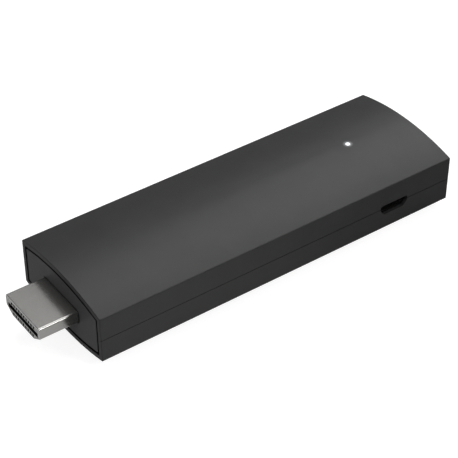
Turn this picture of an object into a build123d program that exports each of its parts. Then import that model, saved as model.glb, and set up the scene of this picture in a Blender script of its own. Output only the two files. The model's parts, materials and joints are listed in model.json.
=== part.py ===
"""Streaming stick: a crowned two-shell casing with a video plug at one end and a power socket in one side.

Millimetres, +Z up. The stick lies along X with its plug towards -X. Its power socket faces -Y and its reset
button faces +Y. The origin is under the middle of the whole stick, at the height of its lowest line.
"""

from build123d import *
from math import atan2, radians, sqrt, tan
import os

# Driving dimensions
BODY_LENGTH = 94.5
BODY_WIDTH = 31.5
SIDE_HEIGHT = 11.55  # flat part of the long sides
CROWN = 2.1  # rise of the arched top, and drop of the arched underside
PLUG_REACH = 9.4  # plug shell standing out of the casing
WALL = 1.2
FOOT_DEPTH = 0.08  # what the narrow flat along the underside takes off its arch
PLUG_DROP = 0.65  # plug and board lie this far below the seam
BOARD_THICKNESS = 0.8
LED_FROM_FRONT = 76.9
SOCKET_FROM_FRONT = 78.1
SOCKET_RISE = 0.12  # socket above the plug's centre

# Places worked out from them
X_FRONT = (PLUG_REACH - BODY_LENGTH) / 2
X_REAR = X_FRONT + BODY_LENGTH
X_TIP = X_FRONT - PLUG_REACH
HALF_WIDTH = BODY_WIDTH / 2
INNER_HALF = HALF_WIDTH - WALL
HEIGHT = SIDE_HEIGHT + 2 * CROWN
Z_SEAM = HEIGHT / 2
CROWN_RADIUS = (HALF_WIDTH**2 + CROWN**2) / (2 * CROWN)
PLUG_Z = Z_SEAM - PLUG_DROP
SOCKET_Z = PLUG_Z + SOCKET_RISE
BOARD_TOP = PLUG_Z + BOARD_THICKNESS / 2
BOARD_BOTTOM = PLUG_Z - BOARD_THICKNESS / 2
LED_X = X_FRONT + LED_FROM_FRONT
SOCKET_X = X_FRONT + SOCKET_FROM_FRONT

# Casing
EDGE_ROUND = 0.3
RIM_ROUND = 0.15
BITE = 0.05  # how far ribs and bosses run into the wall they grow from
SNUG = 0.02  # room between pieces that are pushed into each other
SEAM_LINE_HEIGHT = 0.12
SEAM_LINE_DEPTH = 0.25

# Lip of the bottom shell inside the top shell, and the snap beads on it
LIP_START = X_FRONT + 7.0
LIP_HEIGHT = 1.2
LIP_CLEARANCE = 0.06
LIP_ROOT = 0.6  # wall left outside the lip
BEAD_LENGTH = 5.0
BEAD_HEIGHT = 0.35
BEAD_DEPTH = 0.14
BEAD_RISE = 0.5
BEAD_PLAY = 0.06
BEAD_PLACES = [(x, side) for x in (-24, 0, 22) for side in (-1, 1)]

# End cap in the front opening
CAP_GAP = 0.42
CAP_SET_BACK = 0.05
CAP_CORNER = 0.8
CAP_ROUND = 0.08
CAP_PLATE_END = 1.6
CAP_FLANGE_START = 1.1
CAP_FLANGE_END = 2.3
CAP_CLEARANCE = 0.06
CAP_RIB_START = 2.4
CAP_RIB_THICKNESS = 0.8
CAP_RIB_DEPTH = 0.8
CATCH_LENGTH = 0.8
CATCH_HEIGHT = 4.0
CATCH_DEPTH = 0.4
CATCH_PLAY = 0.08
PLUG_HOLE_GAP = 0.18

# Video plug: a D section with its wide side up
PLUG_WIDTH = 13.9
PLUG_FOOT = 8.7
PLUG_HEIGHT = 4.45
PLUG_STRAIGHT = 2.8
PLUG_ROUND = 0.5
PLUG_SHEET = 0.3
PLUG_LEAD_IN = 0.1
PLUG_SHELL_END = 7.3
PLUG_TAB_START = 10.4
PLUG_TAB_END = 12.0
PLUG_TAB_TOP = 1.4
PLUG_TAB_BOTTOM = -1.0
PLUG_TAB_STEP = 0.45
PLUG_BODY_SET_BACK = 0.05
PLUG_BODY_END = 8.6
PLUG_SLOT_WIDTH = 12.2
PLUG_SLOT_TOP = 0.55  # slot, windows and contacts, from the plug's centre
PLUG_SLOT_BOTTOM = -0.75
PLUG_SLOT_DEPTH = 7.6
PLUG_WINDOW_WIDTH = 0.64
PLUG_WINDOW_HEIGHT = 0.74
PLUG_WINDOW_DEPTH = 1.0
PLUG_UPPER_WINDOW = 1.08
PLUG_LOWER_WINDOW = -1.42
PLUG_PITCH = 1.0
PLUG_UPPER_CONTACTS = 10
PLUG_LOWER_CONTACTS = 9
PLUG_CONTACT_WIDTH = 0.45
PLUG_CONTACT_SET_BACK = 1.6
PLUG_CONTACT_BITE = 0.1  # contacts reach this far into the slot
CONTACT_THICKNESS = 0.15
CONTACT_STEP_END = 9.3
CONTACT_FOOT_END = 10.8
CONTACT_SLOT_GAP = 0.03
CRADLE_STARTS = (4.2, 6.2)
CRADLE_WIDTH = 19.0
CRADLE_THICKNESS = 0.8
GASKET_THICKNESS = 1.5
GASKET_START = 2.4
GASKET_END = 4.1

# Power socket: a smaller D section with its wide side up
SOCKET_WIDTH = 7.5
SOCKET_FOOT = 5.5
SOCKET_HEIGHT = 2.3
SOCKET_STRAIGHT = 1.05
SOCKET_ROUND = 0.35
SOCKET_SHEET = 0.25
SOCKET_HOLE_GAP = 0.14
SOCKET_MOUTH_Y = 1.0 - HALF_WIDTH
SOCKET_REAR_Y = -9.7
SOCKET_WING_REACH = 1.4
SOCKET_WING_Y = (-12.4, -10.6)
TONGUE_WIDTH = 3.9
TONGUE_THICKNESS = 0.55
TONGUE_RISE = 0.05
TONGUE_END_Y = -13.9
TONGUE_ROOT_Y = -11.2
SOCKET_PITCH = 0.65
SOCKET_CONTACTS = 5
SOCKET_CONTACT_WIDTH = 0.3
SOCKET_NOTCH_Y = -9.0  # the board is cut back to here behind the socket
SOCKET_CONTACT_END_Y = -7.8

# Board
BOARD_X0 = X_FRONT + 8.8
BOARD_X1 = X_REAR - 3.1
BOARD_WIDTH = 27.4
BOARD_CORNER = 1.0
CUT_GAP = 0.15
SCREW_PLACES = [(x, y) for x in (BOARD_X0 + 3.2, BOARD_X1 - 6.5) for y in (-11, 11)]
SCREW_RADIUS = 0.8
SCREW_LENGTH = 4.0
SCREW_HEAD_RADIUS = 1.4
SCREW_HEAD_HEIGHT = 0.9
SCREW_CROSS_WIDTH = 0.4
SCREW_CROSS_SPAN = 1.6
SCREW_CROSS_DEPTH = 0.5
SCREW_TIP = 0.3
BOARD_HOLE_RADIUS = 0.95
STANDOFF_RADIUS = 1.9
HOLD_PLACES = (-12, 18)
HOLD_THICKNESS = 1.0
HOLD_REACH = 13.0  # board edge is held between ribs that come in to this half-width

# Light: a lamp on the board, a pipe to the top and a sleeve that keeps the light inside
LIGHT_RADIUS = 0.6
LIGHT_GAP = 0.04
LIGHT_BODY_RADIUS = 1.2
LIGHT_SHOULDER_Z = HEIGHT - 0.75
LIGHT_BOTTOM_Z = BOARD_TOP + 1.0
LIGHT_BOSS_RADIUS = 2.2
LIGHT_BOSS_Z = 11.6
LAMP_SIZE = (1.6, 0.8, 0.3)
LAMP_LENS_SIZE = (1.1, 0.8, 0.4)
SLEEVE_RADIUS = 2.1
SLEEVE_GAP = 0.1

# Reset button, and the switch behind it
BUTTON_X = SOCKET_X
BUTTON_Z = BOARD_TOP + 2.95
BUTTON_RADIUS = 1.2
BUTTON_GAP = 0.1
BUTTON_TRAVEL = 0.25
BUTTON_FACE_Y = HALF_WIDTH - 0.05
BUTTON_FLANGE_Y = INNER_HALF - 0.05
BUTTON_FLANGE_SIZE = (4.4, 3.6, 0.7)
BUTTON_NOSE_RADIUS = 0.8
BUTTON_NOSE_Y = 13.5
BUTTON_EDGE = 0.2
GUIDE_GAP = 0.15
GUIDE_THICKNESS = 0.7
GUIDE_DEPTH = 1.2
SWITCH_WIDTH = 6.0
SWITCH_HEIGHT = 5.0
SWITCH_BACK_Y = 10.2
SWITCH_FACE_Y = 12.9
SWITCH_SHEET = 0.2
SWITCH_WELL_RADIUS = 1.7
SWITCH_WELL_DEPTH = 1.5
SWITCH_COVER_BACK_Y = 11.0
STEM_RADIUS = 0.95
STEM_GAP = 0.05
STEM_FLANGE_RADIUS = 1.3
DOME_RADIUS = 1.6
DOME_RISE = 0.3
DOME_SHEET = 0.1

# Heat path above the processor
SHIELD_X = (20.0, 53.0)
SHIELD_HALF = 11.2
SHIELD_SHEET = 0.2
SHIELD_LID_Z = BOARD_TOP + 1.55
SHIELD_LID_SKIRT = 1.1
SHIELD_LID_PLAY = 0.05
SHIELD_FLANGE = 1.2
SHIELD_FINGER_PITCH = 4.0
SHIELD_FINGER_SLOT = 0.4
SPREADER_Z = 10.3
SPREADER_THICKNESS = 1.2
SPREADER_X = (16.5, 56.5)
SPREADER_HALF = 12.4
SPREADER_CORNER = 1.5
STAKE_RADIUS = 0.8
STAKE_HEAD_RADIUS = 1.35
STAKE_HEAD_HEIGHT = 0.5
STAKE_PLAY = 0.08
STAKE_PLACES = [(x, y) for x in (-22.0, 8.0) for y in (-10.3, 10.3)]


def behind(distance):
    """A place along X, given as its distance behind the front opening."""
    return X_FRONT + distance


def arch_at(y, inset=0.0):
    """Height of the arched top, drawn in by inset, at a place across the width."""
    return HEIGHT - CROWN_RADIUS + sqrt((CROWN_RADIUS - inset) ** 2 - y**2)


def across(x):
    """A workplane across the stick at x, with sketch axes Y and Z and its normal towards the rear."""
    return Plane(origin=(x, 0, 0), x_dir=(0, 1, 0), z_dir=(1, 0, 0))


def facing_socket(y):
    """A workplane at y whose normal points out of the socket's side, centred on the socket."""
    return Plane(origin=(SOCKET_X, y, SOCKET_Z), x_dir=(1, 0, 0), z_dir=(0, -1, 0))


def facing_button(y):
    """A workplane at y whose normal points out of the button's side, centred on the button."""
    return Plane(origin=(BUTTON_X, y, BUTTON_Z), x_dir=(-1, 0, 0), z_dir=(0, 1, 0))


def casing_outline(inset=0.0, corner=0.0, mode=Mode.ADD):
    """The casing's crowned cross-section, drawn in evenly by inset, for a sketch across the stick."""
    half = HALF_WIDTH - inset
    shoulder = arch_at(half, inset)
    with BuildLine() as outline:
        ThreePointArc((-half, shoulder), (0, HEIGHT - inset), (half, shoulder))
        Line((half, shoulder), (half, HEIGHT - shoulder))
        ThreePointArc((half, HEIGHT - shoulder), (0, inset - FOOT_DEPTH), (-half, HEIGHT - shoulder))
        Line((-half, HEIGHT - shoulder), (-half, shoulder))
    make_face(outline.line, mode=mode)
    if corner:
        fillet(vertices(), corner)


def d_outline(width, foot, height, straight, corner, grow, rise):
    """A connector's D section with its wide side up, grown evenly by grow and lifted by rise."""
    slant = atan2((width - foot) / 2, height - straight)
    half_width = width / 2 + grow
    half_foot = foot / 2 + grow * tan((radians(90) - slant) / 2)
    top = rise + height / 2 + grow
    knee = rise + height / 2 - straight - grow * tan(slant / 2)
    bottom = rise - height / 2 - grow
    with BuildLine() as outline:
        FilletPolyline(
            (-half_width, top),
            (half_width, top),
            (half_width, knee),
            (half_foot, bottom),
            (-half_foot, bottom),
            (-half_width, knee),
            radius=corner + grow,
            close=True,
        )
    make_face(outline.line)


def plug_outline(grow=0.0):
    """The video plug's outline, for a sketch across the stick."""
    d_outline(PLUG_WIDTH, PLUG_FOOT, PLUG_HEIGHT, PLUG_STRAIGHT, PLUG_ROUND, grow, PLUG_Z)


def socket_outline(grow=0.0):
    """The power socket's outline, for a sketch that faces the socket's side."""
    d_outline(SOCKET_WIDTH, SOCKET_FOOT, SOCKET_HEIGHT, SOCKET_STRAIGHT, SOCKET_ROUND, grow, 0)


def span_box(x_span, y_span, z_span, mode=Mode.ADD):
    """A box given by its two limits along each axis, in either order."""
    spans = [sorted(span) for span in (x_span, y_span, z_span)]
    with Locations([tuple((low + high) / 2 for low, high in spans)]):
        Box(*(high - low for low, high in spans), mode=mode)


def chip(x, y, size, base=BOARD_TOP, bevel=0.0):
    """A component that stands on the board's top, given by its length, width and height."""
    with Locations((x, y, base)):
        Box(*size, align=(Align.CENTER, Align.CENTER, Align.MIN))
    if bevel:
        chamfer(faces(Select.LAST).sort_by(Axis.Z)[-1].edges(), bevel)


def column(x, y, z0, z1, radius, mode=Mode.ADD):
    """An upright round post or bore between two heights."""
    with BuildSketch(Plane.XY.offset(z0)) as section:
        with Locations((x, y)):
            Circle(radius)
    extrude(section.sketch, amount=z1 - z0, mode=mode)


def rod_to_button(y0, y1, radius, mode=Mode.ADD):
    """A round rod or bore on the button's axis between two places across the width."""
    with BuildSketch(facing_button(y0)) as section:
        Circle(radius)
    extrude(section.sketch, amount=y1 - y0, mode=mode)


def stepped_strip(run, plane_at, offsets, width):
    """Bent contact strips, each extruded evenly about its place in offsets.

    run gives the strip's start, bend, bend and end along its length, then its first and last height.
    """
    start, bend, rest, end, high, low = run
    for place in offsets:
        with BuildSketch(plane_at(place)) as profile:
            with BuildLine():
                Polyline(
                    (start, high),
                    (bend, high),
                    (rest, low),
                    (end, low),
                    (end, low + CONTACT_THICKNESS),
                    (rest, low + CONTACT_THICKNESS),
                    (bend, high + CONTACT_THICKNESS),
                    (start, high + CONTACT_THICKNESS),
                    close=True,
                )
            make_face()
        extrude(profile.sketch, amount=width / 2, both=True)


def row_of(count, pitch):
    """Even places about zero."""
    return [(index - (count - 1) / 2) * pitch for index in range(count)]


def hollow_casing():
    """The whole casing as one skin, open at the front."""
    with BuildSketch(across(X_FRONT)) as outside:
        casing_outline()
    extrude(outside.sketch, amount=BODY_LENGTH)
    fillet(edges().filter_by(Axis.X) + faces().sort_by(Axis.X)[-1].edges(), EDGE_ROUND)
    fillet(faces().sort_by(Axis.X)[0].edges(), RIM_ROUND)
    with BuildSketch(across(X_FRONT)) as inside:
        casing_outline(WALL)
    extrude(inside.sketch, amount=BODY_LENGTH - WALL, mode=Mode.SUBTRACT)


def cap_rib():
    """The rib inside the front opening that backs the end cap's flange."""
    with BuildSketch(across(behind(CAP_RIB_START))) as ring:
        casing_outline(WALL - BITE)
        casing_outline(WALL + CAP_RIB_DEPTH, mode=Mode.SUBTRACT)
    extrude(ring.sketch, amount=CAP_RIB_THICKNESS)


def plug_cradle():
    """Cross ribs with the plug's outline cut out of them, which hold the plug's shell."""
    for start in CRADLE_STARTS:
        with BuildSketch(across(behind(start))) as rib:
            casing_outline(WALL - BITE)
            with Locations((0, Z_SEAM)):
                Rectangle(CRADLE_WIDTH, HEIGHT, mode=Mode.INTERSECT)
        extrude(rib.sketch, amount=CRADLE_THICKNESS)
    with BuildSketch(across(behind(CRADLE_STARTS[0]))) as hole:
        plug_outline(SNUG)
    depth = CRADLE_STARTS[-1] + CRADLE_THICKNESS - CRADLE_STARTS[0]
    extrude(hole.sketch, amount=depth, mode=Mode.SUBTRACT)


def catch_pockets():
    """Pockets in the side walls for the end cap's catches."""
    x_span = behind(CAP_FLANGE_START - CATCH_PLAY), behind(CAP_FLANGE_START + CATCH_LENGTH + CATCH_PLAY)
    reach = CATCH_HEIGHT / 2 + CATCH_PLAY
    for side in (-1, 1):
        y_span = side * (INNER_HALF - BITE), side * (INNER_HALF + CATCH_DEPTH + CATCH_PLAY)
        span_box(x_span, y_span, (Z_SEAM - reach, Z_SEAM + reach), mode=Mode.SUBTRACT)


def socket_opening():
    """The hole in the side wall in front of the power socket."""
    with BuildSketch(facing_socket(WALL - HALF_WIDTH)) as hole:
        socket_outline(SOCKET_HOLE_GAP)
    extrude(hole.sketch, amount=2 * WALL, mode=Mode.SUBTRACT)


def lip_band(inner, outer, start):
    """A band in plan along the side walls and the rear wall, between two half-widths."""
    for half, mode in ((outer, Mode.ADD), (inner, Mode.SUBTRACT)):
        end = X_REAR - HALF_WIDTH + half
        with Locations(((start + end) / 2, 0)):
            Rectangle(end - start, 2 * half, mode=mode)


def snap_beads(play, mode):
    """The beads on the lip, or with play their pockets in the top shell."""
    inner = HALF_WIDTH - LIP_ROOT - LIP_CLEARANCE - BITE
    outer = HALF_WIDTH - LIP_ROOT + BEAD_DEPTH + play
    for x, side in BEAD_PLACES:
        x_span = x - BEAD_LENGTH / 2 - play, x + BEAD_LENGTH / 2 + play
        z_span = Z_SEAM + BEAD_RISE - play, Z_SEAM + BEAD_RISE + BEAD_HEIGHT + play
        span_box(x_span, (side * inner, side * outer), z_span, mode=mode)


# Top shell
with BuildPart() as top_cover:
    hollow_casing()
    cap_rib()
    plug_cradle()
    for x in HOLD_PLACES:
        for side in (-1, 1):
            y_span = side * HOLD_REACH, side * (INNER_HALF + BITE)
            span_box((x, x + HOLD_THICKNESS), y_span, (BOARD_TOP, arch_at(HALF_WIDTH)))
    for x, y in STAKE_PLACES:
        column(x, y, SPREADER_Z - STAKE_HEAD_HEIGHT, arch_at(y, WALL / 2), STAKE_RADIUS)
        column(x, y, SPREADER_Z - STAKE_HEAD_HEIGHT, SPREADER_Z, STAKE_HEAD_RADIUS)
    column(LED_X, 0, LIGHT_BOSS_Z, HEIGHT - WALL / 2, LIGHT_BOSS_RADIUS)
    for side in (-1, 1):
        near = BUTTON_X + side * (BUTTON_FLANGE_SIZE[0] / 2 + GUIDE_GAP)
        z_span = BUTTON_Z - BUTTON_FLANGE_SIZE[1] / 2, BUTTON_Z + BUTTON_FLANGE_SIZE[1] / 2
        span_box(
            (near, near + side * GUIDE_THICKNESS),
            (INNER_HALF - GUIDE_DEPTH, INNER_HALF + BITE),
            z_span,
        )
    split(bisect_by=Plane.XY.offset(Z_SEAM), keep=Keep.TOP)
    with BuildSketch(Plane.XY.offset(Z_SEAM)):
        lip_band(INNER_HALF - LIP_CLEARANCE, HALF_WIDTH - LIP_ROOT, LIP_START - LIP_CLEARANCE)
    extrude(amount=LIP_HEIGHT + LIP_CLEARANCE, mode=Mode.SUBTRACT)
    snap_beads(BEAD_PLAY, Mode.SUBTRACT)
    catch_pockets()
    socket_opening()
    column(LED_X, 0, LIGHT_BOSS_Z, LIGHT_SHOULDER_Z, LIGHT_BODY_RADIUS + LIGHT_GAP, mode=Mode.SUBTRACT)
    column(LED_X, 0, LIGHT_SHOULDER_Z, HEIGHT + BITE, LIGHT_RADIUS + LIGHT_GAP, mode=Mode.SUBTRACT)
    rod_to_button(INNER_HALF - BITE, HALF_WIDTH + BITE, BUTTON_RADIUS + BUTTON_GAP, mode=Mode.SUBTRACT)

# Bottom shell
LABEL_LENGTH = 60.0
LABEL_WIDTH = 22.0
LABEL_DEPTH = 0.2

with BuildPart() as bottom_cover:
    hollow_casing()
    cap_rib()
    plug_cradle()
    for x, y in SCREW_PLACES:
        column(x, y, HEIGHT - arch_at(y, WALL / 2), BOARD_BOTTOM, STANDOFF_RADIUS)
    for x in HOLD_PLACES:
        for side in (-1, 1):
            y_span = side * HOLD_REACH, side * (INNER_HALF + BITE)
            span_box((x, x + HOLD_THICKNESS), y_span, (HEIGHT - arch_at(HOLD_REACH, WALL / 2), BOARD_BOTTOM))
    split(bisect_by=Plane.XY.offset(Z_SEAM), keep=Keep.BOTTOM)
    with BuildSketch(Plane.XY.offset(Z_SEAM)):
        lip_band(INNER_HALF, HALF_WIDTH - LIP_ROOT - LIP_CLEARANCE, LIP_START)
    extrude(amount=LIP_HEIGHT)
    snap_beads(0, Mode.ADD)
    with BuildSketch(Plane.XY.offset(Z_SEAM)):
        lip_band(HALF_WIDTH - SEAM_LINE_DEPTH, HALF_WIDTH + BITE, X_FRONT - BITE)
    extrude(amount=-SEAM_LINE_HEIGHT, mode=Mode.SUBTRACT)
    catch_pockets()
    socket_opening()
    for x, y in SCREW_PLACES:
        depth = SCREW_LENGTH - BOARD_THICKNESS + SNUG
        column(x, y, BOARD_BOTTOM, BOARD_BOTTOM - depth, SCREW_RADIUS + SNUG, mode=Mode.SUBTRACT)
    with BuildSketch(across(-LABEL_LENGTH / 2)):
        casing_outline()
        casing_outline(LABEL_DEPTH, mode=Mode.SUBTRACT)
        with Locations((0, 0)):
            Rectangle(LABEL_WIDTH, HEIGHT, mode=Mode.INTERSECT)
    extrude(amount=LABEL_LENGTH, mode=Mode.SUBTRACT)
    span_box((X_FRONT, X_REAR), (-HALF_WIDTH, HALF_WIDTH), (-WALL, 0), mode=Mode.SUBTRACT)

# End cap around the plug
with BuildPart() as front_bezel:
    with BuildSketch(across(behind(CAP_SET_BACK))):
        casing_outline(WALL + CAP_GAP, CAP_CORNER)
    extrude(amount=CAP_PLATE_END - CAP_SET_BACK)
    fillet(faces().sort_by(Axis.X)[0].edges(), CAP_ROUND)
    with BuildSketch(across(behind(CAP_FLANGE_START))):
        casing_outline(WALL + CAP_CLEARANCE)
    extrude(amount=CAP_FLANGE_END - CAP_FLANGE_START)
    for side in (-1, 1):
        span_box(
            (behind(CAP_FLANGE_START), behind(CAP_FLANGE_START + CATCH_LENGTH)),
            (side * (INNER_HALF - CAP_GAP), side * (INNER_HALF + CATCH_DEPTH)),
            (Z_SEAM - CATCH_HEIGHT / 2, Z_SEAM + CATCH_HEIGHT / 2),
        )
    with BuildSketch(across(X_FRONT)):
        plug_outline(PLUG_HOLE_GAP)
    extrude(amount=CAP_FLANGE_END, mode=Mode.SUBTRACT)

# Light pipe
with BuildPart() as light_pipe:
    column(LED_X, 0, LIGHT_BOTTOM_Z, LIGHT_SHOULDER_Z - LIGHT_GAP, LIGHT_BODY_RADIUS)
    column(LED_X, 0, LIGHT_SHOULDER_Z - LIGHT_GAP, HEIGHT - LIGHT_GAP / 2, LIGHT_RADIUS)

# Reset button
with BuildPart() as reset_button:
    rod_to_button(BUTTON_FLANGE_Y - BITE, BUTTON_FACE_Y, BUTTON_RADIUS)
    fillet(faces().sort_by(Axis.Y)[-1].edges(), BUTTON_EDGE)
    with BuildSketch(facing_button(BUTTON_FLANGE_Y)):
        Rectangle(BUTTON_FLANGE_SIZE[0], BUTTON_FLANGE_SIZE[1])
    extrude(amount=-BUTTON_FLANGE_SIZE[2])
    rod_to_button(BUTTON_NOSE_Y, BUTTON_FLANGE_Y - BUTTON_FLANGE_SIZE[2], BUTTON_NOSE_RADIUS)

# Main board
with BuildPart() as main_board:
    with BuildSketch(Plane.XY.offset(BOARD_BOTTOM)):
        with Locations(((BOARD_X0 + BOARD_X1) / 2, 0)):
            RectangleRounded(BOARD_X1 - BOARD_X0, BOARD_WIDTH, BOARD_CORNER)
        with Locations(*SCREW_PLACES):
            Circle(BOARD_HOLE_RADIUS, mode=Mode.SUBTRACT)
        tab_y = (PLUG_WIDTH - PLUG_SHEET) / 2
        with Locations([(behind((PLUG_TAB_START + PLUG_TAB_END) / 2), side * tab_y) for side in (-1, 1)]):
            slot_length = PLUG_TAB_END - PLUG_TAB_START + 2 * CUT_GAP
            Rectangle(slot_length, PLUG_SHEET + 2 * CUT_GAP, mode=Mode.SUBTRACT)
        notch_depth = BOARD_WIDTH / 2 + SOCKET_NOTCH_Y
        with Locations((SOCKET_X, -BOARD_WIDTH / 2 + notch_depth / 2)):
            Rectangle(SOCKET_WIDTH + 2 * CUT_GAP, notch_depth, mode=Mode.SUBTRACT)
    extrude(amount=BOARD_THICKNESS)

# Video plug's shell, with two tabs that drop into slots in the board
with BuildPart() as plug_shell:
    with BuildSketch(across(X_TIP)):
        plug_outline()
    extrude(amount=PLUG_REACH + PLUG_SHELL_END)
    chamfer(faces().sort_by(Axis.X)[0].edges(), PLUG_LEAD_IN)
    with BuildSketch(across(X_TIP)):
        plug_outline(-PLUG_SHEET)
    extrude(amount=PLUG_REACH + PLUG_SHELL_END, mode=Mode.SUBTRACT)
    for side in (-1, 1):
        y_span = side * (PLUG_WIDTH / 2 - PLUG_SHEET), side * PLUG_WIDTH / 2
        span_box(
            (behind(PLUG_SHELL_END - BITE), behind(PLUG_TAB_END)),
            y_span,
            (PLUG_Z + PLUG_TAB_STEP, PLUG_Z + PLUG_TAB_TOP),
        )
        span_box(
            (behind(PLUG_TAB_START), behind(PLUG_TAB_END)),
            y_span,
            (PLUG_Z + PLUG_TAB_BOTTOM, PLUG_Z + PLUG_TAB_TOP),
        )

UPPER_PLACES = row_of(PLUG_UPPER_CONTACTS, PLUG_PITCH)
LOWER_PLACES = row_of(PLUG_LOWER_CONTACTS, PLUG_PITCH)
PLUG_FACE_X = X_TIP + PLUG_BODY_SET_BACK
PLUG_SLOT_END = PLUG_FACE_X + PLUG_SLOT_DEPTH
UPPER_CONTACT_Z = PLUG_Z + PLUG_SLOT_TOP - PLUG_CONTACT_BITE
LOWER_CONTACT_Z = PLUG_Z + PLUG_SLOT_BOTTOM + PLUG_CONTACT_BITE - CONTACT_THICKNESS
CONTACT_ROWS = (
    (UPPER_PLACES, PLUG_UPPER_WINDOW, PLUG_SLOT_TOP, UPPER_CONTACT_Z),
    (LOWER_PLACES, PLUG_LOWER_WINDOW, PLUG_SLOT_BOTTOM, LOWER_CONTACT_Z),
)

# Video plug's insulating body: a slot for the mating tongue between two rows of contact channels
with BuildPart() as plug_insulator:
    with BuildSketch(across(PLUG_FACE_X)):
        plug_outline(-PLUG_SHEET - SNUG)
    extrude(amount=behind(PLUG_BODY_END) - PLUG_FACE_X)
    y_span = -PLUG_SLOT_WIDTH / 2, PLUG_SLOT_WIDTH / 2
    z_span = PLUG_Z + PLUG_SLOT_BOTTOM, PLUG_Z + PLUG_SLOT_TOP
    span_box((X_TIP, PLUG_SLOT_END), y_span, z_span, mode=Mode.SUBTRACT)
    for places, window, slot_edge, contact_z in CONTACT_ROWS:
        window_span = [PLUG_Z + window + side * PLUG_WINDOW_HEIGHT / 2 for side in (-1, 1)]
        far = max(window_span) if window > 0 else min(window_span)
        for y in places:
            y_span = y - PLUG_WINDOW_WIDTH / 2, y + PLUG_WINDOW_WIDTH / 2
            channel_x = PLUG_FACE_X + PLUG_WINDOW_DEPTH, PLUG_SLOT_END
            span_box((X_TIP, channel_x[0]), y_span, window_span, mode=Mode.SUBTRACT)
            span_box(channel_x, y_span, (PLUG_Z + slot_edge, far), mode=Mode.SUBTRACT)
            half = PLUG_CONTACT_WIDTH / 2 + CONTACT_SLOT_GAP
            z_span = contact_z - CONTACT_SLOT_GAP, contact_z + CONTACT_THICKNESS + CONTACT_SLOT_GAP
            span_box((PLUG_SLOT_END, behind(PLUG_BODY_END)), (y - half, y + half), z_span, mode=Mode.SUBTRACT)

# Video plug's contacts: two rows that straddle the board's front edge
with BuildPart() as plug_contacts:
    start = PLUG_FACE_X + PLUG_CONTACT_SET_BACK
    bends = behind(PLUG_BODY_END), behind(CONTACT_STEP_END), behind(CONTACT_FOOT_END)
    upper = (start, *bends, UPPER_CONTACT_Z, BOARD_TOP)
    lower = (start, *bends, LOWER_CONTACT_Z, BOARD_BOTTOM - CONTACT_THICKNESS)
    for run, places in ((upper, UPPER_PLACES), (lower, LOWER_PLACES)):
        stepped_strip(run, lambda y: Plane.XZ.offset(-y), places, PLUG_CONTACT_WIDTH)

# Conductive foam between the plug's shell and the casing
with BuildPart() as plug_gasket:
    with BuildSketch(across(behind(GASKET_START))):
        plug_outline(GASKET_THICKNESS)
    extrude(amount=GASKET_END - GASKET_START)
    with BuildSketch(across(behind(GASKET_START))):
        plug_outline(SNUG)
    extrude(amount=GASKET_END - GASKET_START, mode=Mode.SUBTRACT)

# Power socket's shell, with wings that rest on the board
with BuildPart() as socket_shell:
    with BuildSketch(facing_socket(SOCKET_REAR_Y)):
        socket_outline()
    extrude(amount=SOCKET_REAR_Y - SOCKET_MOUTH_Y)
    for side in (-1, 1):
        near = SOCKET_X + side * (SOCKET_WIDTH / 2 - SOCKET_SHEET)
        far = SOCKET_X + side * (SOCKET_WIDTH / 2 + SOCKET_WING_REACH)
        span_box((near, far), SOCKET_WING_Y, (BOARD_TOP, BOARD_TOP + SOCKET_SHEET))
    with BuildSketch(facing_socket(SOCKET_REAR_Y)):
        socket_outline(-SOCKET_SHEET)
    extrude(amount=SOCKET_REAR_Y - SOCKET_MOUTH_Y, mode=Mode.SUBTRACT)

TONGUE_Z = SOCKET_Z + TONGUE_RISE
SOCKET_PLACES = [SOCKET_X + x for x in row_of(SOCKET_CONTACTS, SOCKET_PITCH)]

# Power socket's insulating body and tongue
with BuildPart() as socket_insulator:
    with BuildSketch(facing_socket(SOCKET_REAR_Y)):
        socket_outline(-SOCKET_SHEET - SNUG)
    extrude(amount=SOCKET_REAR_Y - TONGUE_ROOT_Y)
    span_box(
        (SOCKET_X - TONGUE_WIDTH / 2, SOCKET_X + TONGUE_WIDTH / 2),
        (TONGUE_END_Y, SOCKET_REAR_Y),
        (TONGUE_Z, TONGUE_Z + TONGUE_THICKNESS),
    )
    for x in SOCKET_PLACES:
        reach = SOCKET_CONTACT_WIDTH / 2 + CONTACT_SLOT_GAP
        z_span = TONGUE_Z - CONTACT_THICKNESS - CONTACT_SLOT_GAP, TONGUE_Z
        span_box((x - reach, x + reach), (TONGUE_ROOT_Y, SOCKET_REAR_Y), z_span, mode=Mode.SUBTRACT)

# Power socket's contacts, which bend up onto the board behind it
with BuildPart() as socket_contacts:
    run = (
        TONGUE_END_Y + BITE,
        SOCKET_REAR_Y,
        SOCKET_NOTCH_Y,
        SOCKET_CONTACT_END_Y,
        TONGUE_Z - CONTACT_THICKNESS,
        BOARD_TOP,
    )
    stepped_strip(run, lambda x: Plane.YZ.offset(x), SOCKET_PLACES, SOCKET_CONTACT_WIDTH)

# Processor and memory on the board's top, under a shield
PROCESSOR_PLACE = (behind(29.5), 0)
PROCESSOR_SIZE = (14.0, 14.0, 1.1)
MEMORY_PLACES = [(behind(45.0), y) for y in (-5.2, 5.2)]
MEMORY_SIZE = (10.0, 9.0, 1.0)
PACKAGE_BEVEL = 0.08

with BuildPart() as main_processor:
    chip(*PROCESSOR_PLACE, PROCESSOR_SIZE, bevel=PACKAGE_BEVEL)

with BuildPart() as memory_chips:
    for place in MEMORY_PLACES:
        chip(*place, MEMORY_SIZE)

# Storage and power chips on the board's underside, under a shield of their own
STORAGE_PLACE = (behind(34.0), 0)
STORAGE_SIZE = (11.5, 13.0, 1.0)
POWER_CHIP_PLACE = (behind(46.5), 2.0)
POWER_CHIP_SIZE = (6.0, 6.0, 0.9)
UNDER_SHIELD_X = (24.5, 53.0)
UNDER_SHIELD_HALF = 9.5
UNDER_SHIELD_DEPTH = 1.6

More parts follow.
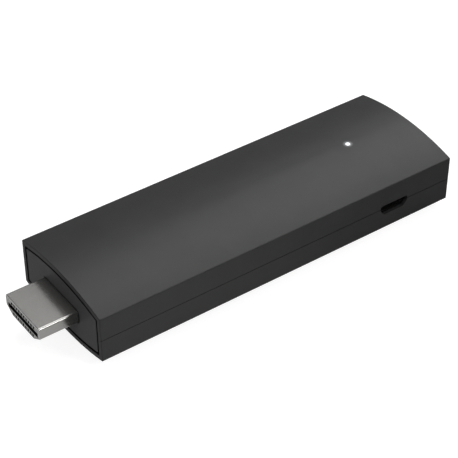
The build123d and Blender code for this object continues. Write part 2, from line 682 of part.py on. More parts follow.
with BuildPart() as storage_chip:
    chip(*STORAGE_PLACE, STORAGE_SIZE, BOARD_BOTTOM - STORAGE_SIZE[2])

with BuildPart() as power_manager:
    chip(*POWER_CHIP_PLACE, POWER_CHIP_SIZE, BOARD_BOTTOM - POWER_CHIP_SIZE[2])

with BuildPart() as underside_shield:
    x_span = [behind(x) for x in UNDER_SHIELD_X]
    z_span = BOARD_BOTTOM - UNDER_SHIELD_DEPTH, BOARD_BOTTOM
    span_box(x_span, (-UNDER_SHIELD_HALF, UNDER_SHIELD_HALF), z_span)
    fillet(edges().filter_by(Axis.Z), SHIELD_SHEET * 2)
    offset(amount=-SHIELD_SHEET, openings=faces().sort_by(Axis.Z)[-1])

# Shield over the processor: a soldered frame and a lid that clips over it
with BuildPart() as shield_frame:
    x_span = [behind(x) for x in SHIELD_X]
    y_span = (-SHIELD_HALF, SHIELD_HALF)
    frame_top = SHIELD_LID_Z - SHIELD_LID_PLAY
    span_box(x_span, y_span, (BOARD_TOP, frame_top))
    inner_x = [behind(SHIELD_X[0] + SHIELD_SHEET), behind(SHIELD_X[1] - SHIELD_SHEET)]
    inner_half = SHIELD_HALF - SHIELD_SHEET
    span_box(inner_x, (-inner_half, inner_half), (BOARD_TOP, frame_top - SHIELD_SHEET), mode=Mode.SUBTRACT)
    hole_x = [behind(SHIELD_X[0] + SHIELD_FLANGE), behind(SHIELD_X[1] - SHIELD_FLANGE)]
    hole_half = SHIELD_HALF - SHIELD_FLANGE
    span_box(hole_x, (-hole_half, hole_half), (BOARD_TOP, frame_top), mode=Mode.SUBTRACT)

with BuildPart() as shield_lid:
    grow = SHIELD_LID_PLAY + SHIELD_SHEET
    x_span = [behind(SHIELD_X[0] - grow), behind(SHIELD_X[1] + grow)]
    half = SHIELD_HALF + grow
    skirt_z = SHIELD_LID_Z - SHIELD_LID_SKIRT
    span_box(x_span, (-half, half), (skirt_z, SHIELD_LID_Z + SHIELD_SHEET))
    inner_x = [behind(SHIELD_X[0] - SHIELD_LID_PLAY), behind(SHIELD_X[1] + SHIELD_LID_PLAY)]
    inner_half = SHIELD_HALF + SHIELD_LID_PLAY
    span_box(inner_x, (-inner_half, inner_half), (skirt_z, SHIELD_LID_Z), mode=Mode.SUBTRACT)
    finger_count = int((SHIELD_X[1] - SHIELD_X[0]) / SHIELD_FINGER_PITCH)
    for x in row_of(finger_count, SHIELD_FINGER_PITCH):
        middle = behind(sum(SHIELD_X) / 2) + x
        slot_x = middle - SHIELD_FINGER_SLOT / 2, middle + SHIELD_FINGER_SLOT / 2
        span_box(slot_x, (-half, half), (skirt_z, SHIELD_LID_Z - SHIELD_SHEET), mode=Mode.SUBTRACT)

# Heat path: pad, lid, pad and spreader
LID_PAD_WIDTH = 16.0

with BuildPart() as chip_thermal_pad:
    pad_size = (PROCESSOR_SIZE[0], PROCESSOR_SIZE[1], SHIELD_LID_Z - BOARD_TOP - PROCESSOR_SIZE[2])
    chip(*PROCESSOR_PLACE, pad_size, BOARD_TOP + PROCESSOR_SIZE[2])

with BuildPart() as lid_thermal_pad:
    lid_top = SHIELD_LID_Z + SHIELD_SHEET
    chip(*PROCESSOR_PLACE, (LID_PAD_WIDTH, LID_PAD_WIDTH, SPREADER_Z - lid_top), lid_top)

with BuildPart() as heat_spreader:
    with BuildSketch(Plane.XY.offset(SPREADER_Z)):
        with Locations((behind(sum(SPREADER_X) / 2), 0)):
            RectangleRounded(SPREADER_X[1] - SPREADER_X[0], 2 * SPREADER_HALF, SPREADER_CORNER)
        with Locations(*STAKE_PLACES):
            Circle(STAKE_RADIUS + STAKE_PLAY, mode=Mode.SUBTRACT)
    extrude(amount=SPREADER_THICKNESS)

# Radio module: its own small board and lid
RADIO_PLACE = (behind(62.5), 4.5)
RADIO_BOARD_SIZE = (13.0, 12.0, 0.6)
RADIO_LID_SIZE = (11.8, 10.8, 1.3)
RADIO_EDGE_PITCH = 1.2
RADIO_EDGE_RADIUS = 0.25
RADIO_EDGE_Y = RADIO_BOARD_SIZE[1] / 2
RADIO_EDGE_PLACES = [(x, y) for x in row_of(9, RADIO_EDGE_PITCH) for y in (-RADIO_EDGE_Y, RADIO_EDGE_Y)]

with BuildPart() as radio_board:
    with BuildSketch(Plane.XY.offset(BOARD_TOP)):
        with Locations(RADIO_PLACE):
            Rectangle(RADIO_BOARD_SIZE[0], RADIO_BOARD_SIZE[1])
            with Locations(*RADIO_EDGE_PLACES):
                Circle(RADIO_EDGE_RADIUS, mode=Mode.SUBTRACT)
    extrude(amount=RADIO_BOARD_SIZE[2])

with BuildPart() as radio_lid:
    chip(*RADIO_PLACE, RADIO_LID_SIZE, BOARD_TOP + RADIO_BOARD_SIZE[2])
    fillet(edges().filter_by(Axis.Z), SHIELD_SHEET * 2)
    offset(amount=-SHIELD_SHEET, openings=faces().sort_by(Axis.Z)[0])

# Stamped antennas at the rear corners
ANTENNA_X = (87.0, 91.0)
ANTENNA_Y = (3.6, 13.2)
ANTENNA_HEIGHT = 3.2
ANTENNA_SHEET = 0.2
ANTENNA_SLOT_WIDTH = 0.6
ANTENNA_SLOT_PITCH = 2.0
ANTENNA_SLOTS = 4
ANTENNA_LEG_WIDTH = 1.2


def stamped_antenna(side):
    """A raised strip with meander slots, on two legs."""
    x0, x1 = (behind(x) for x in ANTENNA_X)
    y0, y1 = (side * y for y in ANTENNA_Y)
    top = BOARD_TOP + ANTENNA_HEIGHT
    span_box((x0, x1), (y0, y1), (top - ANTENNA_SHEET, top))
    for index in range(ANTENNA_SLOTS):
        y = side * (ANTENNA_Y[0] + (index + 1) * ANTENNA_SLOT_PITCH)
        start = x0 + ANTENNA_SLOT_WIDTH if index % 2 else x0
        slot_x = start, start + (x1 - x0) - ANTENNA_SLOT_WIDTH
        span_box(slot_x, (y, y - side * ANTENNA_SLOT_WIDTH), (top - ANTENNA_SHEET, top), mode=Mode.SUBTRACT)
    for leg_x in (x0, x1 - ANTENNA_LEG_WIDTH):
        span_box((leg_x, leg_x + ANTENNA_LEG_WIDTH), (y0, y0 + side * ANTENNA_SHEET), (BOARD_TOP, top))


with BuildPart() as antenna_left:
    stamped_antenna(1)

with BuildPart() as antenna_right:
    stamped_antenna(-1)

# Smaller components on the board's top
INDUCTOR_PLACES = [(behind(x), -8.0) for x in (57.5, 62.7, 67.9)]
INDUCTOR_SIZE = (4.0, 4.0, 1.9)
CRYSTAL_PLACES = [(behind(38.2), 9.0), (behind(72.0), 6.5)]
CRYSTAL_SIZE = (3.2, 2.5, 0.8)
FILTER_PLACES = [(behind(16.2), y) for y in row_of(4, 2.6)]
FILTER_SIZE = (2.0, 1.2, 1.0)
FUSE_PLACE = (behind(72.6), -7.2)
FUSE_SIZE = (1.6, 3.2, 0.7)
CAPACITOR_SIZE = (1.0, 0.6, 0.55)
CAPACITOR_PLACES = [(behind(24.5 + 1.9 * index), y) for index in range(6) for y in (-9.0, 9.0)]
CAPACITOR_PLACES += [(behind(56.5 + 1.9 * index), -11.6) for index in range(7)]
CAPACITOR_PLACES += [(behind(57.7 + 1.9 * index), -4.8) for index in range(6)]

with BuildPart() as power_inductors:
    for place in INDUCTOR_PLACES:
        chip(*place, INDUCTOR_SIZE)

with BuildPart() as crystals:
    for place in CRYSTAL_PLACES:
        chip(*place, CRYSTAL_SIZE)

with BuildPart() as line_filters:
    for place in FILTER_PLACES:
        chip(*place, FILTER_SIZE)

with BuildPart() as input_fuse:
    chip(*FUSE_PLACE, FUSE_SIZE)

with BuildPart() as ceramic_capacitors:
    for place in CAPACITOR_PLACES:
        chip(*place, CAPACITOR_SIZE)

# Status lamp and its light-blocking sleeve
with BuildPart() as status_led:
    chip(LED_X, 0, LAMP_SIZE)
    chip(LED_X, 0, LAMP_LENS_SIZE, BOARD_TOP + LAMP_SIZE[2])

with BuildPart() as led_sleeve:
    column(LED_X, 0, BOARD_TOP, LIGHT_BOSS_Z - BITE, SLEEVE_RADIUS)
    column(LED_X, 0, BOARD_TOP, LIGHT_BOSS_Z - BITE, LIGHT_BODY_RADIUS + SLEEVE_GAP, mode=Mode.SUBTRACT)

# Side-acting switch behind the reset button
WELL_FLOOR_Y = SWITCH_FACE_Y - SWITCH_WELL_DEPTH
STEM_END_Y = BUTTON_NOSE_Y - STEM_GAP
STEM_FLANGE_Y = SWITCH_FACE_Y - STEM_GAP
DOME_CROWN_Y = WELL_FLOOR_Y + DOME_RISE + DOME_SHEET
STEM_BACK_Y = DOME_CROWN_Y + STEM_GAP + BUTTON_TRAVEL

with BuildPart() as switch_base:
    x_span = BUTTON_X - SWITCH_WIDTH / 2, BUTTON_X + SWITCH_WIDTH / 2
    span_box(x_span, (SWITCH_BACK_Y, SWITCH_FACE_Y), (BOARD_TOP, BOARD_TOP + SWITCH_HEIGHT))
    rod_to_button(WELL_FLOOR_Y, SWITCH_FACE_Y, SWITCH_WELL_RADIUS, mode=Mode.SUBTRACT)

with BuildPart() as switch_cover:
    outer_half = SWITCH_WIDTH / 2 + SNUG + SWITCH_SHEET
    inner_half = SWITCH_WIDTH / 2 + SNUG
    z_span = BOARD_TOP + SWITCH_SHEET, BOARD_TOP + SWITCH_HEIGHT
    x_span = BUTTON_X - outer_half, BUTTON_X + outer_half
    span_box(x_span, (SWITCH_COVER_BACK_Y, SWITCH_FACE_Y + SWITCH_SHEET), z_span)
    x_span = BUTTON_X - inner_half, BUTTON_X + inner_half
    span_box(x_span, (SWITCH_COVER_BACK_Y, SWITCH_FACE_Y), z_span, mode=Mode.SUBTRACT)
    rod_to_button(SWITCH_FACE_Y, SWITCH_FACE_Y + SWITCH_SHEET, STEM_RADIUS + STEM_GAP, mode=Mode.SUBTRACT)

with BuildPart() as switch_dome:
    with BuildSketch(Plane.XY.offset(BUTTON_Z)):
        with BuildLine():
            rim_x = BUTTON_X + DOME_RADIUS
            dome_radius = (DOME_RADIUS**2 + DOME_RISE**2) / (2 * DOME_RISE)
            Line((BUTTON_X, DOME_CROWN_Y), (BUTTON_X, DOME_CROWN_Y - DOME_SHEET))
            RadiusArc((BUTTON_X, DOME_CROWN_Y - DOME_SHEET), (rim_x, WELL_FLOOR_Y), dome_radius)
            Line((rim_x, WELL_FLOOR_Y), (rim_x, WELL_FLOOR_Y + DOME_SHEET))
            RadiusArc((BUTTON_X, DOME_CROWN_Y), (rim_x, WELL_FLOOR_Y + DOME_SHEET), dome_radius)
        make_face()
    revolve(axis=Axis((BUTTON_X, 0, BUTTON_Z), (0, 1, 0)))

with BuildPart() as switch_stem:
    rod_to_button(STEM_BACK_Y, STEM_FLANGE_Y, STEM_FLANGE_RADIUS)
    rod_to_button(STEM_FLANGE_Y, STEM_END_Y, STEM_RADIUS)

# Board screws, thread-forming, with a cross recess
with BuildPart() as board_screws:
    for x, y in SCREW_PLACES:
        column(x, y, BOARD_TOP, BOARD_TOP + SCREW_HEAD_HEIGHT, SCREW_HEAD_RADIUS)
        column(x, y, BOARD_TOP - SCREW_LENGTH, BOARD_TOP, SCREW_RADIUS)
        z_span = BOARD_TOP + SCREW_HEAD_HEIGHT - SCREW_CROSS_DEPTH, BOARD_TOP + SCREW_HEAD_HEIGHT
        wide, narrow = SCREW_CROSS_SPAN / 2, SCREW_CROSS_WIDTH / 2
        span_box((x - wide, x + wide), (y - narrow, y + narrow), z_span, mode=Mode.SUBTRACT)
        span_box((x - narrow, x + narrow), (y - wide, y + wide), z_span, mode=Mode.SUBTRACT)
    chamfer(edges().filter_by(GeomType.CIRCLE).group_by(Axis.Z)[0], SCREW_TIP)

PIECES = {
    "top_cover": top_cover,
    "bottom_cover": bottom_cover,
    "front_bezel": front_bezel,
    "light_pipe": light_pipe,
    "reset_button": reset_button,
    "main_board": main_board,
    "plug_shell": plug_shell,
    "plug_insulator": plug_insulator,
    "plug_contacts": plug_contacts,
    "plug_gasket": plug_gasket,
    "socket_shell": socket_shell,
    "socket_insulator": socket_insulator,
    "socket_contacts": socket_contacts,
    "shield_frame": shield_frame,
    "shield_lid": shield_lid,
    "underside_shield": underside_shield,
    "main_processor": main_processor,
    "memory_chips": memory_chips,
    "storage_chip": storage_chip,
    "power_manager": power_manager,
    "chip_thermal_pad": chip_thermal_pad,
    "lid_thermal_pad": lid_thermal_pad,
    "heat_spreader": heat_spreader,
    "radio_board": radio_board,
    "radio_lid": radio_lid,
    "antenna_left": antenna_left,
    "antenna_right": antenna_right,
    "power_inductors": power_inductors,
    "ceramic_capacitors": ceramic_capacitors,
    "crystals": crystals,
    "line_filters": line_filters,
    "input_fuse": input_fuse,
    "status_led": status_led,
    "led_sleeve": led_sleeve,
    "switch_base": switch_base,
    "switch_cover": switch_cover,
    "switch_dome": switch_dome,
    "switch_stem": switch_stem,
    "board_screws": board_screws,
}

os.makedirs("parts", exist_ok=True)
for name, piece in PIECES.items():
    piece.part.label = name
    export_step(piece.part, f"parts/{name}.step")
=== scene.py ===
"""Streaming stick: finishes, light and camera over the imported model.

Metres, in the model's own frame: X along the stick with its plug towards -X, +Z up. Every finish is made of
nodes that work in that frame, so that a grain or a glow sits where it belongs on each piece.
"""

import bpy
import json
from math import cos, radians, sin
from mathutils import Matrix, Vector


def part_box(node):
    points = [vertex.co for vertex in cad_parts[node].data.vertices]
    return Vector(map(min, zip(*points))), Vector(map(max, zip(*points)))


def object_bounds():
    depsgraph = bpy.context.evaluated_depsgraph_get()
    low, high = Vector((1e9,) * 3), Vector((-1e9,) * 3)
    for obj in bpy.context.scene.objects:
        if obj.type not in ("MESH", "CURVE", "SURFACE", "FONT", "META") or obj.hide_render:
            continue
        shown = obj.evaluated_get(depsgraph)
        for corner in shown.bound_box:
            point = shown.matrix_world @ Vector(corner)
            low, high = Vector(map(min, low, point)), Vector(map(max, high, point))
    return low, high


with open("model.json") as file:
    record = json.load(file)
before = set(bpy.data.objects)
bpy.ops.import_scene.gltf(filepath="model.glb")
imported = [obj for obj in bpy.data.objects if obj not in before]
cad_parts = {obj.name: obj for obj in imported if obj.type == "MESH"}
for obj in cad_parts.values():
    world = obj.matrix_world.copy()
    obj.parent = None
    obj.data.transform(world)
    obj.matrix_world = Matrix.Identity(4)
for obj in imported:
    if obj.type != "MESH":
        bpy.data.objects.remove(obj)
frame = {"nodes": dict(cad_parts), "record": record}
CAD_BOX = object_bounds()

MM = 0.001

# The casing's section, which is the same arch above and below its seam
HALF_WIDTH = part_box("top_cover")[1].y
HALF_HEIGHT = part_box("top_cover")[1].z / 2
CROWN_RISE = 2.1 * MM
CROWN_RADIUS = (HALF_WIDTH**2 + CROWN_RISE**2) / (2 * CROWN_RISE)
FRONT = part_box("top_cover")[0].x

# Camera, fitted to the casing's edges in the photograph
CAMERA_PLACE = Vector((-161.06, -225.95, 234.01)) * MM
CAMERA_ANGLES = (-35.63, 39.30)
CAMERA_ROLL = 0.07
LENS = 126.42
SENSOR = 36.0
CLIP_START = 0.01

# Lamps: azimuth and elevation seen from the stick, distance, sides, turn in its own plane, watts
LAMPS = {
    "overhead_softbox": ((130, 55), 1.5, (0.8, 1.8), -26, 20.5),
    "edge_lamp": ((26, 40), 1.0, (0.2, 0.28), 0, 3.6),
    "left_fill": ((-80, 28), 1.5, (0.8, 0.6), 0, 5.4),
}

# The world lights evenly and is seen as white, though dimmer in mirrors towards the horizon
WORLD_LIGHT = 0.2
HORIZON_LIGHT = 0.22
HORIZON_FADE = (0.3, 0.9)

# The floor's own glow makes it white to the camera, and in mirrors it fades away past the plug
FLOOR_SIZE = 8.0
FLOOR_DROP = 0.02 * MM  # keeps it off the stick's flat foot
FLOOR_COLOUR = (0.3, 0.3, 0.3)
FLOOR_ROUGHNESS = 0.9
FLOOR_GLOW = 0.86
MIRRORED_GLOW = 0.98
FADE_AZIMUTH = 105
FADE_ENDS = (-0.045, 0.055)

# Light on the stick itself
LED_PLACE = (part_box("light_pipe")[0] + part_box("light_pipe")[1]) / 2
LED_TIP = (LED_PLACE.x, LED_PLACE.y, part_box("light_pipe")[1].z)
LED_COLOUR = (0.96, 0.98, 1, 1)
LED_REACH = 0.6 * MM
LED_GLOW = (3.0, 0.15)
COVER_REACH = 1.5 * MM
COVER_GLOW = (0.35, 0.0)

# Painted shade in joints, crevices, holes and mouths: how far each reaches, and the darkest share of the
# colour in it
OPEN_SHARES = (0.5, 0.95)  # shares of open sky at which a point is darkest, and no longer dark
CREVICE_REACH = 0.9 * MM
JOINT_INSET = 1.41 * MM  # middle of the gap round the end cap, in from the casing's outline
JOINT_EDGES = (0.3 * MM, 0.45 * MM)
JOINT_DEPTH = 2.3 * MM
JOINT_SHADE = 0.1
MOUTH_REACH = 1.5 * MM
MOUTH_SHADE = 0.03
SLOT_LIT_DEPTH = 0.03 * MM  # how far light gets into the plug's slot and windows
SLOT_SHADE = 0.01

# The casing's front rim is rougher, and painted light makes its colour paler
RIM_DEPTH = 0.16 * MM
RIM_PAINTED_LIGHT = 1.15
RIM_ROUGHNESS = 0.72

# Where noise, which stays near its middle, is cut off
NOISE_ENDS = (0.25, 0.75)
COLOUR_ENDS = (0.3, 0.7)

# Moulded plastic: the sizes of its patches of colour and roughness, and how much these wander
PATCH_SIZE = 6 * MM
PATCH_SPREAD = 0.06
SHEEN_SIZE = 0.4 * MM
SHEEN_SPREAD = 0.05
MOULD_DETAIL = 3.0

# Rolled sheet: how slowly its streaks change along X, and the sizes of their colour, roughness and grain
STREAK_SCALE = (0.02, 1, 1)
STREAK_COLOUR_SIZE = 0.35 * MM
STREAK_SHEEN_SIZE = 0.25 * MM
STREAK_GRAIN_SIZE = 0.12 * MM

# Body of a small component
BLOCK_SPECULAR = 0.4
BLOCK_PATCH_SIZE = 0.6 * MM
BLOCK_PATCH_SPREAD = 0.15

# Circuit board: a net of copper lines that aren't quite even, under a slightly uneven solder mask
NET_LAYOUT = {"offset": 0.37, "squash": 0.6, "squash_frequency": 3}
NET_SIZE = 2.6 * MM
COPPER_SHARE = 0.06
MASK_SHADE = 1.12
MASK_GRAIN = (0.5 * MM, 0.004 * MM)


class Graph:
    """The nodes of a material or world, with short ways to add to them."""

    def __init__(self, tree):
        self.nodes = tree.nodes
        self.links = tree.links

    def feed(self, socket, value):
        """Links an output to a socket, or sets the socket to a value."""
        if isinstance(value, bpy.types.NodeSocket):
            self.links.new(value, socket)
        else:
            socket.default_value = value

    def node(self, kind, settings=None, **inputs):
        """A new node with its settings, and with its inputs set or linked by name."""
        made = self.nodes.new(kind)
        for key, value in (settings or {}).items():
            setattr(made, key, value)
        for key, value in inputs.items():
            self.feed(made.inputs[key.replace("_", " ").title()], value)
        return made

    def math(self, operation, *values):
        """A sum or the like of one or two numbers."""
        made = self.node("ShaderNodeMath", {"operation": operation})
        for socket, value in zip(made.inputs, values):
            self.feed(socket, value)
        return made.outputs["Value"]

    def vector_math(self, operation, *values):
        """The outputs of a sum or the like of one or two vectors."""
        made = self.node("ShaderNodeVectorMath", {"operation": operation})
        for socket, value in zip(made.inputs, values):
            self.feed(socket, value)
        return made.outputs

    def remap(self, value, ends, results, interpolation="SMOOTHSTEP"):
        """A number that goes from one result to the other as a value goes from end to end."""
        made = self.node("ShaderNodeMapRange", {"interpolation_type": interpolation}, Value=value)
        for name, number in zip(("From Min", "From Max", "To Min", "To Max"), (*ends, *results)):
            self.feed(made.inputs[name], number)
        return made.outputs["Result"]

    def ray_is(self, kind):
        """1 where a ray of a kind lands, else 0."""
        return self.node("ShaderNodeLightPath").outputs[f"Is {kind} Ray"]

    def seen_directly(self):
        """1 where a camera, mirror or glass ray lands, else 0."""
        total = self.ray_is("Camera")
        for kind in ("Glossy", "Transmission"):
            total = self.math("MAXIMUM", total, self.ray_is(kind))
        return total


class Finish(Graph):
    """A Principled material whose nodes read the position in the model's frame."""

    def __init__(self, name, colour, roughness, metallic=0.0, specular=0.5):
        self.material = bpy.data.materials.new(name)
        self.material.use_nodes = True
        super().__init__(self.material.node_tree)
        self.shader = self.nodes["Principled BSDF"]
        self.shader.inputs["Base Color"].default_value = (*colour, 1)
        self.shader.inputs["Roughness"].default_value = roughness
        self.shader.inputs["Metallic"].default_value = metallic
        self.shader.inputs["Specular IOR Level"].default_value = specular
        self.place = self.node("ShaderNodeTexCoord").outputs["Object"]

    def along(self):
        """The position along X."""
        return self.node("ShaderNodeSeparateXYZ", Vector=self.place).outputs["X"]

    def stretched(self, factors):
        """The position, scaled along each axis."""
        mapping = self.node("ShaderNodeMapping", Vector=self.place, Scale=factors)
        return mapping.outputs["Vector"]

    def noise(self, size, detail=2.0, place=None):
        """Noise between 0 and 1 whose blobs are about size across."""
        made = self.node("ShaderNodeTexNoise", Vector=place or self.place, Scale=1 / size, Detail=detail)
        return made.outputs["Fac"]

    def vary_colour(self, size, colour, spread, place=None):
        """Base colour that wanders by a share to either side of a colour."""
        ramp = self.node("ShaderNodeValToRGB", Fac=self.noise(size, place=place))
        shades = 1 - spread, 1 + spread
        for stop, position, shade in zip(ramp.color_ramp.elements, COLOUR_ENDS, shades):
            stop.position = position
            stop.color = (*shade_of(colour, shade), 1)
        self.links.new(ramp.outputs["Color"], self.shader.inputs["Base Color"])

    def vary_roughness(self, size, roughness, spread, place=None):
        """Roughness that wanders to either side of a value."""
        noise = self.noise(size, place=place)
        wander = self.remap(noise, NOISE_ENDS, (roughness - spread, roughness + spread), "LINEAR")
        self.links.new(wander, self.shader.inputs["Roughness"])

    def grain(self, size, depth, detail=2.0, place=None):
        """Surface grain of a size and depth, as bump."""
        height = self.noise(size, detail, place)
        bump = self.node("ShaderNodeBump", Height=height, Distance=depth, Strength=1.0)
        self.links.new(bump.outputs["Normal"], self.shader.inputs["Normal"])

    def scale_colour(self, value, ends, shares):
        """Base colour scaled by a share that follows a value."""
        colour = self.shader.inputs["Base Color"]
        share = self.remap(value, ends, shares)
        scaled = self.node("ShaderNodeVectorMath", {"operation": "SCALE"}, Scale=share)
        self.links.new(colour.links[0].from_socket, scaled.inputs[0])
        self.links.new(scaled.outputs["Vector"], colour)

    def paint_crevice_shade(self, reach, darkest):
        """Painted shade: base colour that falls to a share of itself where other surfaces stand within
        reach.
        """
        openness = self.node("ShaderNodeAmbientOcclusion", Distance=reach).outputs["AO"]
        self.scale_colour(openness, OPEN_SHARES, (darkest, 1.0))

    def paint_joint_shade(self):
        """Painted shade: base colour that falls along the gap round the end cap, which follows the casing's
        outline.
        """
        across = self.node("ShaderNodeSeparateXYZ", Vector=self.place).outputs
        from_side = self.math("SUBTRACT", HALF_WIDTH, self.math("ABSOLUTE", across["Y"]))
        lift = self.math("ABSOLUTE", self.math("SUBTRACT", across["Z"], HALF_HEIGHT))
        above_centre = self.math("ADD", lift, CROWN_RADIUS - HALF_HEIGHT)
        spoke = self.node("ShaderNodeCombineXYZ", Y=across["Y"], Z=above_centre).outputs["Vector"]
        from_arch = self.math("SUBTRACT", CROWN_RADIUS, self.vector_math("LENGTH", spoke)["Value"])
        inset = self.math("MINIMUM", from_side, from_arch)
        off_line = self.math("ABSOLUTE", self.math("SUBTRACT", inset, JOINT_INSET))
        too_deep = self.math("SUBTRACT", across["X"], FRONT + JOINT_DEPTH)
        self.scale_colour(self.math("MAXIMUM", off_line, too_deep), JOINT_EDGES, (JOINT_SHADE, 1.0))

    def paint_slot_shade(self):
        """Painted shade: base colour that falls away inside the mouth of the plug's slot and windows."""
        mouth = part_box("plug_insulator")[0].x
        ends = mouth + SLOT_LIT_DEPTH, mouth + 2 * SLOT_LIT_DEPTH
        self.scale_colour(self.along(), ends, (1.0, SLOT_SHADE))

    def roughen_rim_and_paint_light(self):
        """More roughness on the casing's front rim, and painted light that makes its colour paler."""
        ends = FRONT, FRONT + RIM_DEPTH
        self.scale_colour(self.along(), ends, (RIM_PAINTED_LIGHT, 1.0))
        roughness = self.shader.inputs["Roughness"]
        mix = self.remap(self.along(), ends, (RIM_ROUGHNESS, roughness.links[0].from_socket))
        self.links.new(mix, roughness)

    def glow(self, reach, strengths):
        """Light given off round the lit dot, which fades out to reach."""
        from_tip = self.vector_math("DISTANCE", self.place, LED_TIP)["Value"]
        fade = self.remap(from_tip, (0, reach), strengths, "SMOOTHERSTEP")
        self.links.new(fade, self.shader.inputs["Emission Strength"])
        self.shader.inputs["Emission Color"].default_value = LED_COLOUR


def shade_of(colour, factor):
    """A colour made lighter or darker."""
    return tuple(min(1.0, channel * factor) for channel in colour)


def moulded_plastic(name, colour, roughness, specular, grain_size=0.16 * MM, grain_depth=0.012 * MM):
    """Plastic with the fine even grain of an eroded mould."""
    finish = Finish(name, colour, roughness, specular=specular)
    finish.vary_colour(PATCH_SIZE, colour, PATCH_SPREAD)
    finish.vary_roughness(SHEEN_SIZE, roughness, SHEEN_SPREAD)
    finish.grain(grain_size, grain_depth, MOULD_DETAIL)
    return finish


def rolled_metal(name, colour, roughness, depth=0.001 * MM, metallic=1.0, spread=0.05):
    """Plated sheet with a faint rolling grain along X, whose colour and roughness wander by spread."""
    finish = Finish(name, colour, roughness, metallic)
    streaks = finish.stretched(STREAK_SCALE)
    finish.vary_colour(STREAK_COLOUR_SIZE, colour, spread, streaks)
    finish.vary_roughness(STREAK_SHEEN_SIZE, roughness, spread, streaks)
    finish.grain(STREAK_GRAIN_SIZE, depth, place=streaks)
    return finish


def dull_block(name, colour, roughness, grain_size=0.08 * MM, grain_depth=0.006 * MM):
    """Moulded or fired body of a small component."""
    finish = Finish(name, colour, roughness, specular=BLOCK_SPECULAR)
    finish.vary_colour(BLOCK_PATCH_SIZE, colour, BLOCK_PATCH_SPREAD)
    finish.grain(grain_size, grain_depth)
    return finish


def circuit_board(name, colour, over_copper, roughness):
    """Solder mask over a net of copper lines."""
    finish = Finish(name, colour, roughness)
    net = finish.node(
        "ShaderNodeTexBrick",
        NET_LAYOUT,
        Vector=finish.place,
        Scale=1 / NET_SIZE,
        Mortar_Size=COPPER_SHARE,
        Color1=(*colour, 1),
        Color2=(*shade_of(colour, MASK_SHADE), 1),
        Mortar=(*over_copper, 1),
    )
    finish.links.new(net.outputs["Color"], finish.shader.inputs["Base Color"])
    finish.grain(*MASK_GRAIN)
    return finish


def lit_guide(name, colour, roughness):
    """Clear light guide, brightest on its axis."""
    finish = Finish(name, colour, roughness)
    finish.glow(LED_REACH, LED_GLOW)
    return finish


CASING = (0.0255, 0.0255, 0.0255)
BEZEL = (0.06, 0.0588, 0.06)
STEEL = (0.235, 0.2315, 0.2232)

# Each finish: the function that makes it, and what that function takes after the name
LOOKS = {
    "casing_black": (moulded_plastic, CASING, 0.4, 0.14),
    "bezel_black": (moulded_plastic, BEZEL, 0.5, 0.02),
    "plug_metal": (rolled_metal, STEEL, 0.2, 0.0002 * MM, 0.8, 0.02),
    "socket_metal": (rolled_metal, (0.22, 0.22, 0.22), 0.35),
    "plug_body_grey": (moulded_plastic, (0.25, 0.25, 0.24), 0.4, 0.4, 0.1 * MM, 0.004 * MM),
    "insulator_black": (moulded_plastic, (0.012, 0.012, 0.012), 0.4, 0.4, 0.1 * MM, 0.004 * MM),
    "contact_gold": (rolled_metal, (0.83, 0.58, 0.22), 0.2),
    "light_guide": (lit_guide, (0.5, 0.51, 0.53), 0.2),
    "button_black": (moulded_plastic, (0.028, 0.028, 0.028), 0.45, 0.4),
    "board_green": (circuit_board, (0.012, 0.085, 0.05), (0.03, 0.17, 0.09), 0.35),
    "chip_black": (dull_block, (0.02, 0.02, 0.022), 0.55),
    "shield_tin": (rolled_metal, (0.62, 0.62, 0.60), 0.28),
    "gap_pad": (dull_block, (0.30, 0.38, 0.47), 0.8, 0.3 * MM, 0.02 * MM),
    "spreader_aluminium": (rolled_metal, (0.72, 0.73, 0.74), 0.3, 0.002 * MM),
    "antenna_metal": (rolled_metal, (0.66, 0.60, 0.48), 0.25),
    "inductor_grey": (dull_block, (0.10, 0.10, 0.11), 0.7),
    "capacitor_tan": (dull_block, (0.36, 0.25, 0.16), 0.5),
    "crystal_can": (rolled_metal, (0.68, 0.65, 0.58), 0.22),
    "filter_black": (dull_block, (0.04, 0.04, 0.04), 0.6),
    "lamp_body": (dull_block, (0.80, 0.79, 0.66), 0.3),
    "sleeve_black": (dull_block, (0.014, 0.014, 0.014), 0.8, 0.3 * MM, 0.02 * MM),
    "gasket_grey": (dull_block, (0.16, 0.16, 0.17), 0.85, 0.4 * MM, 0.05 * MM),
    "switch_black": (dull_block, (0.02, 0.02, 0.02), 0.45),
    "spring_steel": (rolled_metal, (0.60, 0.60, 0.58), 0.25),
    "screw_steel": (rolled_metal, (0.42, 0.42, 0.42), 0.35),
}
FINISHES = {name: make(name, *values) for name, (make, *values) in LOOKS.items()}


def add_shade_and_glow():
    """Painted shade in joints, crevices and mouths, painted light that makes the rim paler, and the dot's
    light painted as glow on the cover round it.
    """
    for name in ("casing_black", "bezel_black"):
        # painted shade in crevices and along the gap round the end cap
        FINISHES[name].paint_crevice_shade(CREVICE_REACH, JOINT_SHADE)
        FINISHES[name].paint_joint_shade()
    # painted shade in the mouths of the plug and socket
    for name in ("plug_body_grey", "socket_metal", "insulator_black", "contact_gold"):
        FINISHES[name].paint_crevice_shade(MOUTH_REACH, MOUTH_SHADE)
    # painted shade deep in the plug's slot and windows
    FINISHES["plug_body_grey"].paint_slot_shade()
    # painted light: the casing's front rim is made paler
    FINISHES["casing_black"].roughen_rim_and_paint_light()
    FINISHES["casing_black"].glow(COVER_REACH, COVER_GLOW)


def dress():
    """Gives every node its finish."""
    for part in frame["record"]["subparts"]:
        for slot in frame["nodes"][part["node"]].material_slots:
            slot.material = FINISHES[part["material_slot"]].material


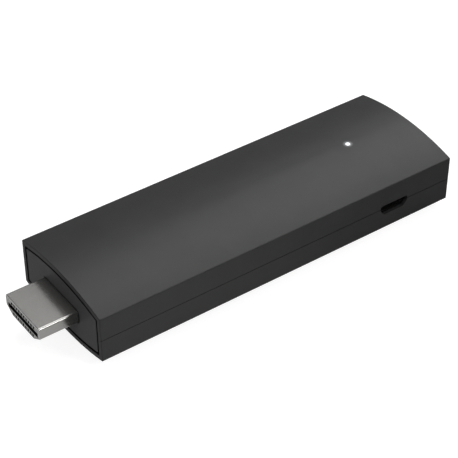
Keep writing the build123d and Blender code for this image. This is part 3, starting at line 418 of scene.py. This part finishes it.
def direction(azimuth, elevation):
    """A unit vector out of the stick, from degrees, with azimuth 0 towards -Y and 90 towards +X."""
    flat = Vector((sin(radians(azimuth)), -cos(radians(azimuth)), 0)) * cos(radians(elevation))
    return flat + Vector((0, 0, sin(radians(elevation))))


def aim(thing, place, forward, roll=0.0):
    """Puts a camera or lamp somewhere, looking along forward."""
    turn = forward.to_track_quat("-Z", "Y").to_matrix().to_4x4()
    thing.matrix_world = Matrix.Translation(place) @ turn @ Matrix.Rotation(roll, 4, "Z")


def add(name, data):
    """A new object in the scene."""
    thing = bpy.data.objects.new(name, data)
    bpy.context.scene.collection.objects.link(thing)
    return thing


def place_camera():
    """The camera at the photograph's angle."""
    data = bpy.data.cameras.new("camera")
    data.lens = LENS
    data.sensor_width = SENSOR
    data.clip_start = CLIP_START
    camera = add("camera", data)
    aim(camera, CAMERA_PLACE, -direction(*CAMERA_ANGLES), radians(CAMERA_ROLL))
    bpy.context.scene.camera = camera


def hang_lamps():
    """Soft lamps round the stick, all aimed at its middle."""
    middle = (CAD_BOX[0] + CAD_BOX[1]) / 2
    for name, (angles, distance, sides, turn, watts) in LAMPS.items():
        data = bpy.data.lights.new(name, "AREA")
        data.shape = "RECTANGLE"
        data.size, data.size_y = sides
        data.energy = watts
        way = direction(*angles)
        aim(add(name, data), middle + way * distance, -way, radians(turn))


def light_world():
    """An even grey light that is seen as white."""
    world = bpy.data.worlds.new("studio")
    bpy.context.scene.world = world
    world.use_nodes = True
    graph = Graph(world.node_tree)
    background = graph.nodes["Background"]
    background.inputs["Color"].default_value = (1, 1, 1, 1)
    way = graph.node("ShaderNodeTexCoord").outputs["Generated"]
    height = graph.node("ShaderNodeSeparateXYZ", Vector=way).outputs["Z"]
    dome = graph.remap(height, HORIZON_FADE, (HORIZON_LIGHT, 1.0))
    seen = graph.math("MAXIMUM", graph.ray_is("Camera"), dome)
    strength = graph.node("ShaderNodeMix", Factor=graph.seen_directly(), A=WORLD_LIGHT, B=seen)
    graph.links.new(strength.outputs["Result"], background.inputs["Strength"])


def floor_finish():
    """The floor's material, which gives light only to the camera and to mirrors."""
    finish = Finish("floor", FLOOR_COLOUR, FLOOR_ROUGHNESS)
    beyond = finish.vector_math("DOT_PRODUCT", finish.place, direction(FADE_AZIMUTH, 0))["Value"]
    mirrored = finish.remap(beyond, FADE_ENDS, (MIRRORED_GLOW, 0))
    glow = finish.node("ShaderNodeMix", Factor=finish.ray_is("Camera"), A=mirrored, B=FLOOR_GLOW)
    strength = finish.math("MULTIPLY", glow.outputs["Result"], finish.seen_directly())
    finish.links.new(strength, finish.shader.inputs["Emission Strength"])
    finish.shader.inputs["Emission Color"].default_value = (1, 1, 1, 1)
    return finish


def lay_floor():
    """A plain pale floor that fades into the white background."""
    half = FLOOR_SIZE / 2
    mesh = bpy.data.meshes.new("floor")
    corners = [(-half, -half, 0), (half, -half, 0), (half, half, 0), (-half, half, 0)]
    mesh.from_pydata(corners, [], [(0, 1, 2, 3)])
    mesh.materials.append(floor_finish().material)
    floor = add("floor", mesh)
    floor.location.z = CAD_BOX[0].z - FLOOR_DROP


add_shade_and_glow()
dress()
place_camera()
hang_lamps()
light_world()
lay_floor()
bpy.context.scene.view_settings.view_transform = "Standard"
